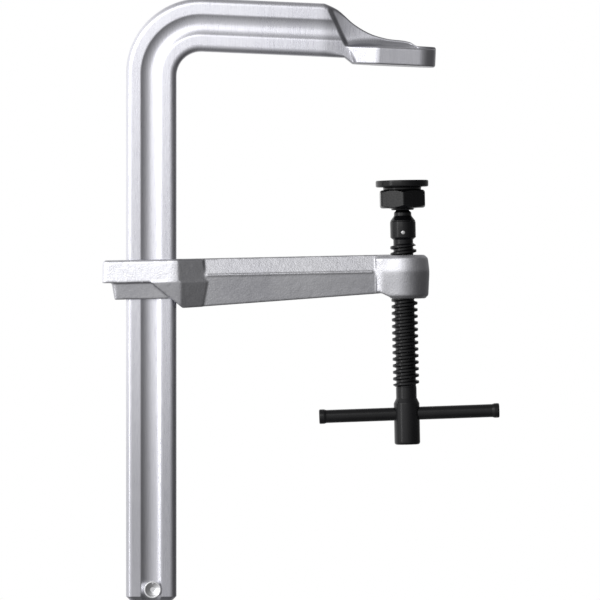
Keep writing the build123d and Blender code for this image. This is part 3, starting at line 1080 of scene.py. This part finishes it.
class ThreadTree:
    """A geometry node tree that winds one trapezoidal thread, root to root, up the Z axis."""

    sizes = (
        "Pitch", "Turns", "Start", "Core Radius", "Crest Radius", "Crest Half", "Root Half", "Bottom", "Top",
        "Run Out",
    )

    def __init__(self, profile_points: int = 21, turn_points: int = 64) -> None:
        """Build the tree.

        Args:
            profile_points: Points across one pitch.
            turn_points: Points round one turn.
        """
        self.profile_points = profile_points
        self.turn_points = turn_points
        self.tree = bpy.data.node_groups.new("wound_thread", "GeometryNodeTree")
        for name in self.sizes:
            self.tree.interface.new_socket(name, in_out="INPUT", socket_type="NodeSocketFloat")
        self.tree.interface.new_socket("Finish", in_out="INPUT", socket_type="NodeSocketMaterial")
        self.tree.interface.new_socket("Thread", in_out="OUTPUT", socket_type="NodeSocketGeometry")
        self.wind()

    def wind(self) -> None:
        """Add the nodes that lay a grid round the screw."""
        graph = Graph(self.tree)
        group = graph.node("NodeGroupInput")
        size = {name: Signal(graph, group.outputs[name]) for name in self.sizes}
        rows = size["Turns"] * float(self.turn_points) + 1.0
        grid = graph.node(
            "GeometryNodeMeshGrid", None,
            {"Size X": 1.0, "Size Y": 1.0, "Vertices X": self.profile_points, "Vertices Y": rows},
        )
        across, along, _ = graph.axes(graph.signal("GeometryNodeInputPosition", 0))
        up = along + 0.5
        turned = up * size["Turns"]
        height = size["Start"] + size["Pitch"] * (turned + across)
        off_crest = across.function("ABSOLUTE") * size["Pitch"]
        flank = ((size["Root Half"] - off_crest) / (size["Root Half"] - size["Crest Half"])).clamped()
        run_in = ((height - size["Bottom"]) / size["Run Out"]).clamped()
        run_out = ((size["Top"] - height) / size["Run Out"]).clamped()
        fade = run_in * run_out
        radius = size["Core Radius"] + (size["Crest Radius"] - size["Core Radius"]) * flank * fade
        angle = turned * (2 * math.pi)
        wound = graph.node(
            "ShaderNodeCombineXYZ", None,
            {0: radius * angle.function("COSINE"), 1: radius * angle.function("SINE"), 2: height},
        )
        laid = graph.node(
            "GeometryNodeSetPosition", None, {"Geometry": grid.outputs["Mesh"], "Position": wound.outputs[0]}
        )
        welded = graph.node(
            "GeometryNodeMergeByDistance", None, {"Geometry": laid.outputs[0], "Distance": 0.02 * MM}
        )
        real = graph.node("GeometryNodeRealizeInstances", None, {"Geometry": welded.outputs[0]})
        dressed = {"Geometry": real.outputs[0], "Material": group.outputs["Finish"]}
        finished = graph.node("GeometryNodeSetMaterial", None, dressed)
        graph.node("NodeGroupOutput", None, {"Thread": finished.outputs[0]})

    def bake(self, sizes: dict[str, float], finish: bpy.types.Material) -> bpy.types.Mesh:
        """Wind a thread and return it as a plain mesh.

        Args:
            sizes: A value for each named input, lengths in metres.
            finish: The thread's material.

        Returns:
            The thread's mesh.
        """
        holder = new_object("thread", bpy.data.meshes.new("thread"))
        modifier = holder.modifiers.new("wind", "NODES")
        modifier.node_group = self.tree
        for socket in self.tree.interface.items_tree:
            if socket.in_out == "INPUT":
                modifier[socket.identifier] = finish if socket.name == "Finish" else sizes[socket.name]
        apply_modifiers(holder)
        mesh = holder.data
        bpy.data.objects.remove(holder)
        return mesh


@dataclass
class Screw:
    """The spindle with its thread, the stud with its pin, and the tommy bar.

    Heights are from the arm's middle.
    """

    core: float = 6.05
    crest: float = 8.0
    crest_half: float = 0.73
    root_half: float = 1.33
    pitch: float = 4.0
    thread_start: float = -72.0
    thread_turns: float = 24.0
    thread_low: float = -67.3
    thread_high: float = 20.7
    run_out: float = 1.5
    thread_past: float = 0.6
    head_radius: float = 7.85
    head_top: float = -73.8
    head_low: float = -102.2
    head_cone: float = 3.2
    head_dish: float = 1.0
    neck: float = 6.3
    undercut: float = 6.05
    barrel: float = 7.8
    undercut_high: float = 22.8
    barrel_low: float = 23.4
    barrel_cone: float = 0.8
    barrel_high: float = 33.82
    pin_level: float = 27.1
    pin_radius: float = 1.2
    shoulder_low: float = 33.9
    shoulder: float = 7.6
    shoulder_side: float = 0.5
    stud_neck: float = 5.3
    stud_neck_low: float = 37.4
    stud_neck_high: float = 39.4
    ball: float = 7.0
    ball_level: float = 47.5
    ball_neck: float = 4.0
    ball_neck_low: float = 40.6
    shank_fit: float = 0.1
    bore_fit: float = 0.05
    bore_below_pin: float = 4.0
    shank_low: float = 23.6
    pin_crown: float = 0.12
    bar_radius: float = 4.0
    bar_fit: float = 0.25
    bar_end: float = 4.45
    bar_end_length: float = 3.0
    bar_end_run: float = 1.4
    bar_half: float = 55.0
    bar_cut: float = 30.0

    def thread(self, finish: bpy.types.Material) -> bpy.types.Mesh:
        """Wind the thread, cut level at both ends inside the necks.

        Args:
            finish: The thread's material.

        Returns:
            The closed thread's mesh.
        """
        sizes = {
            "Pitch": self.pitch * MM, "Turns": self.thread_turns, "Start": self.thread_start * MM,
            "Core Radius": self.core * MM, "Crest Radius": self.crest * MM,
            "Crest Half": self.crest_half * MM, "Root Half": self.root_half * MM,
            "Bottom": self.thread_low * MM, "Top": self.thread_high * MM, "Run Out": self.run_out * MM,
        }
        mesh = ThreadTree().bake(sizes, finish)
        ends = ((self.thread_low - self.thread_past, -1), (self.thread_high + self.thread_past, 1))
        with editing(mesh) as shape:
            for level, side in ends:
                parts = shape.verts[:] + shape.edges[:] + shape.faces[:]
                bmesh.ops.bisect_plane(
                    shape, geom=parts, plane_co=(0, 0, level * MM), plane_no=(0, 0, side), clear_outer=True,
                )
            rims = [edge for edge in shape.edges if edge.is_boundary]
            bmesh.ops.edgeloop_fill(shape, edges=rims)
            bmesh.ops.recalc_face_normals(shape, faces=shape.faces)
        return mesh

    def bar_place(self) -> Matrix:
        """Give the tommy bar's place.

        Returns:
            The bar's own frame, with its length along Z.
        """
        low, high = (Vector(corner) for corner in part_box("tommy_bar"))
        turn = Vector(joint("bar_slide")["axis"]).to_track_quat("Z", "Y").to_matrix().to_4x4()
        return Matrix.Translation((low + high) / 2) @ turn

    def build_spindle(self, finish: bpy.types.Material) -> bpy.types.Object:
        """Make the spindle: turned ends joined to the thread.

        Args:
            finish: The thread's material.

        Returns:
            The spindle.
        """
        head = lathe(rounded(
            [(0, self.head_low + self.head_dish), (self.head_radius / 2, self.head_low),
             (self.head_radius, self.head_low),
             (self.head_radius, self.head_top - self.head_cone), (self.neck, self.head_top),
             (self.neck, self.thread_low), (0, self.thread_low)],
            [2.0, 1.8, 0.8, 0.5, 0.3], steps=5,
        ))
        bore, bottom = self.ball_neck + self.bore_fit, self.pin_level - self.bore_below_pin
        barrel = lathe(rounded(
            [(0, self.thread_high), (self.undercut, self.thread_high), (self.undercut, self.undercut_high),
             (self.barrel, self.barrel_low + self.barrel_cone), (self.barrel, self.barrel_high),
             (bore, self.barrel_high), (bore, bottom), (0, bottom)],
            [0.3, 0.4, 0.6, 0.25, 0.2, 0.0],
        ))
        ends = joined("spindle_ends", [head, barrel])
        ends.data.transform(screw_place())
        hole = rod(self.bar_radius + self.bar_fit, -self.bar_cut, self.bar_cut)
        hole.transform(self.bar_place())
        cut(ends, hole)
        thread = self.thread(finish)
        thread.transform(screw_place())
        spindle = joined("spindle_screw", [ends.data, thread])
        bpy.data.objects.remove(ends)
        smooth_shading(spindle.data, angle=32)
        return spindle

    def build_stud(self) -> bpy.types.Object:
        """Make the stud: shank, shoulder, neck and ball.

        Returns:
            The stud.
        """
        meets = self.ball_level - math.sqrt(self.ball**2 - self.ball_neck**2)
        start = math.asin((meets - self.ball_level) / self.ball)
        ball = [
            (self.ball * math.cos(a), self.ball_level + self.ball * math.sin(a))
            for a in np.linspace(start, math.pi / 2, 24)
        ]
        shank = self.ball_neck - self.shank_fit
        lower = rounded(
            [(0, self.shank_low), (shank, self.shank_low), (shank, self.shoulder_low),
             (self.shoulder, self.shoulder_low), (self.shoulder, self.shoulder_low + self.shoulder_side),
             (self.stud_neck, self.stud_neck_low), (self.stud_neck, self.stud_neck_high),
             (self.ball_neck, self.ball_neck_low), ball[0]],
            [0.4, 0.1, 0.2, 0.7, 2.0, 0.8, 0.8], steps=5,
        )
        return placed("stud_turned", lathe(lower + ball[1:]), screw_place())

    def build_stud_pin(self) -> bpy.types.Object:
        """Make the short pin in the barrel's wall, its outer end slightly domed.

        Returns:
            The pin.
        """
        low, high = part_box("stud_pin")
        length = (high[1] - low[1]) / MM
        outline = [(0, 0), (self.pin_radius, 0), (self.pin_radius, length), (0, length + self.pin_crown)]
        middle = Vector(((low[0] + high[0]) / 2, high[1], (low[2] + high[2]) / 2))
        place = Matrix.Translation(middle) @ Matrix.Rotation(math.pi / 2, 4, "X")
        return placed("stud_pin_turned", lathe(rounded(outline, [0.2, 0.25]), around=32), place)

    def build_bar(self) -> bpy.types.Object:
        """Make the tommy bar with its upset ends.

        Returns:
            The bar.
        """
        half = self.bar_half
        neck = half - self.bar_end_length
        plain = neck - self.bar_end_run
        outline = rounded(
            [(0, -half), (self.bar_end, -half), (self.bar_end, -neck), (self.bar_radius, -plain),
             (self.bar_radius, plain), (self.bar_end, neck), (self.bar_end, half), (0, half)],
            [0.9, 0.8, 1.2, 1.2, 0.8, 0.9], steps=5,
        )
        return placed("tommy_bar_upset", lathe(outline, around=64), self.bar_place())

    def build(self) -> None:
        """Make the screw's pieces and dress them."""
        black = BLACK_STEEL.build()
        dress(self.build_spindle(black), black, "screw", "spindle")
        dress(self.build_stud_pin(), BRIGHT_STEEL.build(), "screw", "stud_pin")
        dress(self.build_stud(), black, "stud", "ball_stud")
        dress(self.build_bar(), black, "handle", "tommy_bar")
        SwivelPad().build(black)


@dataclass
class SwivelPad:
    """The pad and the nut that holds it on the ball. Heights are from the arm's middle."""

    plate: float = 16.1
    top: float = 59.0
    underside: float = 54.9
    neck: float = 11.6
    boss: float = 9.6
    boss_low: float = 47.6
    nut_high: float = 53.1
    nut_low: float = 40.9
    across_flats: float = 27.0
    nut_turn: float = 2.0
    corner_power: float = 70.0
    chamfer: float = 0.8
    chamfer_angle: float = 30.0
    hexagon_low: float = 42.1
    hub: float = 6.6
    hub_top: float = 9.8
    hub_flare: float = 0.5
    hub_step: float = 0.3
    hub_round: float = 2.0
    nut_points: int = 240
    mouth: float = 6.3
    lip_level: float = 42.9
    socket: float = 7.08
    socket_gap: float = 0.01
    ball_level: float = 47.5

    def socket_arc(self, low: float, high: float) -> list[Point]:
        """Give the ball socket's outline between two heights."""
        levels = np.linspace(low, high, 14)
        return [(math.sqrt(max(0.0, self.socket**2 - (z - self.ball_level) ** 2)), z) for z in levels]

    def build_pad(self) -> bpy.types.Object:
        """Make the pad with its socket.

        Returns:
            The pad.
        """
        socket = self.socket_arc(self.boss_low, self.ball_level + self.socket)[::-1]
        outline = rounded(
            [socket[-1], (self.boss, self.boss_low), (self.boss, self.nut_high), (self.neck, self.nut_high),
             (self.neck, self.underside), (self.plate, self.underside), (self.plate, self.top),
             (0, self.top)],
            [0.3, 0.0, 0.4, 0.9, 1.2, 0.9], steps=5,
        )
        return placed("pad_turned", lathe(socket[:-1] + outline, around=128), screw_place())

    def hexagon(self, angle: np.ndarray) -> np.ndarray:
        """Give the hexagon's radius, its corners slightly broken.

        Args:
            angle: Angles round the nut.

        Returns:
            A radius for each angle.
        """
        faces = np.radians(np.arange(6) * 60 + self.nut_turn)
        facing = np.clip(np.cos(angle[:, None] - faces[None, :]), 1e-6, None)
        return self.across_flats / 2 / (facing**self.corner_power).sum(axis=1) ** (1 / self.corner_power)

    def ring(self, radius: float | np.ndarray, level: float, angle: np.ndarray) -> np.ndarray:
        """Give the points of one ring at a level."""
        return np.stack([radius * np.cos(angle), radius * np.sin(angle), np.full_like(angle, level)], axis=1)

    def build_nut(self) -> bpy.types.Object:
        """Make the nut: chamfered flats, a mouth below and a bore for the pad's boss.

        Returns:
            The nut.
        """
        angle = np.linspace(0, 2 * math.pi, self.nut_points, endpoint=False)
        flat = self.hexagon(angle)
        slope = math.tan(math.radians(self.chamfer_angle))
        inset = self.across_flats / 2 - self.chamfer
        bevel = (flat.max() - inset) * slope
        steps = np.linspace(0, 1, 10)
        levels = [*(self.hexagon_low + bevel * steps), *(self.nut_high - bevel * steps[::-1])]
        start, end = (self.hub, self.nut_low), (self.hub_top, self.hexagon_low)
        flare = (self.hub + self.hub_flare, self.hexagon_low - self.hub_step)
        hub = rounded([start, flare, end], [self.hub_round], steps=5)
        rows = [self.ring(radius, z, angle) for radius, z in hub]
        for z in levels:
            cone = inset + min(z - self.hexagon_low, self.nut_high - z) / slope
            rows.append(self.ring(np.minimum(flat, cone), z, angle))
        inside = [(self.boss, self.nut_high), (self.boss, self.boss_low)]
        inside += self.socket_arc(self.lip_level, self.boss_low - self.socket_gap)[::-1]
        inside += [(self.mouth, self.nut_low)]
        rows += [self.ring(radius, z, angle) for radius, z in inside]
        return placed("nut_hexagon", skin(np.array(rows) * MM, loop=True), screw_place(), angle=25)

    def build(self, black: bpy.types.Material) -> None:
        """Make the pad's pieces and dress them."""
        dress(self.build_pad(), black, "pad", "pressure_pad")
        dress(self.build_nut(), black, "pad", "pad_nut")


# ---------------------------------------------------------------- the studio


@dataclass
class Studio:
    """A pale floor, soft light from the upper left and a long lens square to the clamp."""

    distance: float = 4.0
    view_width: float = 0.366
    aim: tuple[float, float] = (-0.0634, -0.1427)
    sensor: float = 36.0
    far: float = 50.0
    floor_size: float = 1.4
    floor_drop: float = 0.095
    floor_tone: tuple[float, float, float] = (0.95, 0.95, 0.95)
    floor_roughness: float = 0.8
    floor_glow: float = 0.45
    side_range: tuple[float, float] = (1.0, -0.75)
    right_light: float = 0.14
    left_gain: float = 1.04
    ground: float = 0.2
    horizon: tuple[float, float] = (-1.15, 0.1)
    zenith: tuple[float, float] = (0.45, 1.0)
    zenith_dim: float = 0.5
    lights: tuple[tuple, ...] = (
        ("key", (-2.0, -1.75, 0.8), 0.9, 0.9, 10),
        ("strip", (-2.0, -1.6, -0.1), 0.3, 1.6, 5),
        ("front", (-0.4, -1.1, 0.35), 0.7, 0.7, 1.8),
    )

    def camera(self) -> None:
        """Place the camera."""
        data = bpy.data.cameras.new("camera")
        data.sensor_width = self.sensor
        data.lens = self.sensor * self.distance / self.view_width
        data.clip_end = self.far
        camera = new_object("camera", data)
        camera.location = (self.aim[0], -self.distance, self.aim[1])
        camera.rotation_euler = (math.pi / 2, 0, 0)
        bpy.context.scene.camera = camera

    def soft_light(self, name: str, place: Sequence[float], wide: float, tall: float, power: float) -> None:
        """Place a soft light that faces the clamp and that the camera doesn't see.

        Args:
            name: The light's name.
            place: Where it stands, in metres.
            wide: Its width in metres.
            tall: Its height in metres.
            power: Its power in watts.
        """
        data = bpy.data.lights.new(name, "AREA")
        data.shape, data.size, data.size_y, data.energy = "RECTANGLE", wide, tall, power
        light = new_object(name, data)
        light.location = place
        light.visible_camera = False
        middle = Vector((self.aim[0], 0, self.aim[1]))
        light.rotation_euler = (middle - light.location).to_track_quat("-Z", "Y").to_euler()

    def world(self) -> None:
        """Surround the clamp with a white room that is darker on its right."""
        world = bpy.data.worlds.new("studio")
        world.use_nodes = True
        bpy.context.scene.world = world
        graph = Graph(world.node_tree)
        background = world.node_tree.nodes["Background"]
        background.inputs["Color"].default_value = (1, 1, 1, 1)
        x, _, height = graph.axes(graph.signal("ShaderNodeTexCoord", "Generated"))
        side = x.between(*self.side_range)
        rise = height.between(*self.horizon) * (1.0 - self.ground)
        level = self.ground + rise - height.between(*self.zenith) * self.zenith_dim
        light = (self.right_light + side * self.left_gain) * level
        seen = graph.signal("ShaderNodeLightPath", "Is Camera Ray")
        strength = light * (1.0 - seen) + seen * 1.0
        world.node_tree.links.new(strength.socket, background.inputs["Strength"])

    def floor(self) -> None:
        """Lay a plain pale floor below the foot, clear of the lowered screw."""
        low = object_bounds()[0]
        mesh = bpy.data.meshes.new("floor")
        half = self.floor_size / 2
        z = low[2] - self.floor_drop
        square = ((-half, -half), (half, -half), (half, half), (-half, half))
        corners = [(x + self.aim[0], y, z) for x, y in square]
        mesh.from_pydata(corners, [], [(0, 1, 2, 3)])
        floor = new_object("floor", mesh)
        material = bpy.data.materials.new("floor")
        material.use_nodes = True
        shader = material.node_tree.nodes["Principled BSDF"]
        for name, value in (
            ("Base Color", rgba(self.floor_tone)), ("Roughness", self.floor_roughness),
            ("Emission Color", (1, 1, 1, 1)), ("Emission Strength", self.floor_glow),
        ):
            shader.inputs[name].default_value = value
        mesh.materials.append(material)
        floor.visible_glossy = False
        floor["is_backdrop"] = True

    def build(self) -> None:
        """Set up the whole studio."""
        self.camera()
        self.world()
        self.floor()
        for light in self.lights:
            self.soft_light(*light)
        bpy.context.scene.view_settings.view_transform = "Standard"


def main() -> None:
    """Build the studio and every assembly."""
    logging.basicConfig(level=logging.INFO, format="%(name)s %(message)s")
    Studio().build()
    for assembly in (Rail(), Arm(), Screw()):
        assembly.build()


if __name__ == "__main__":
    main()
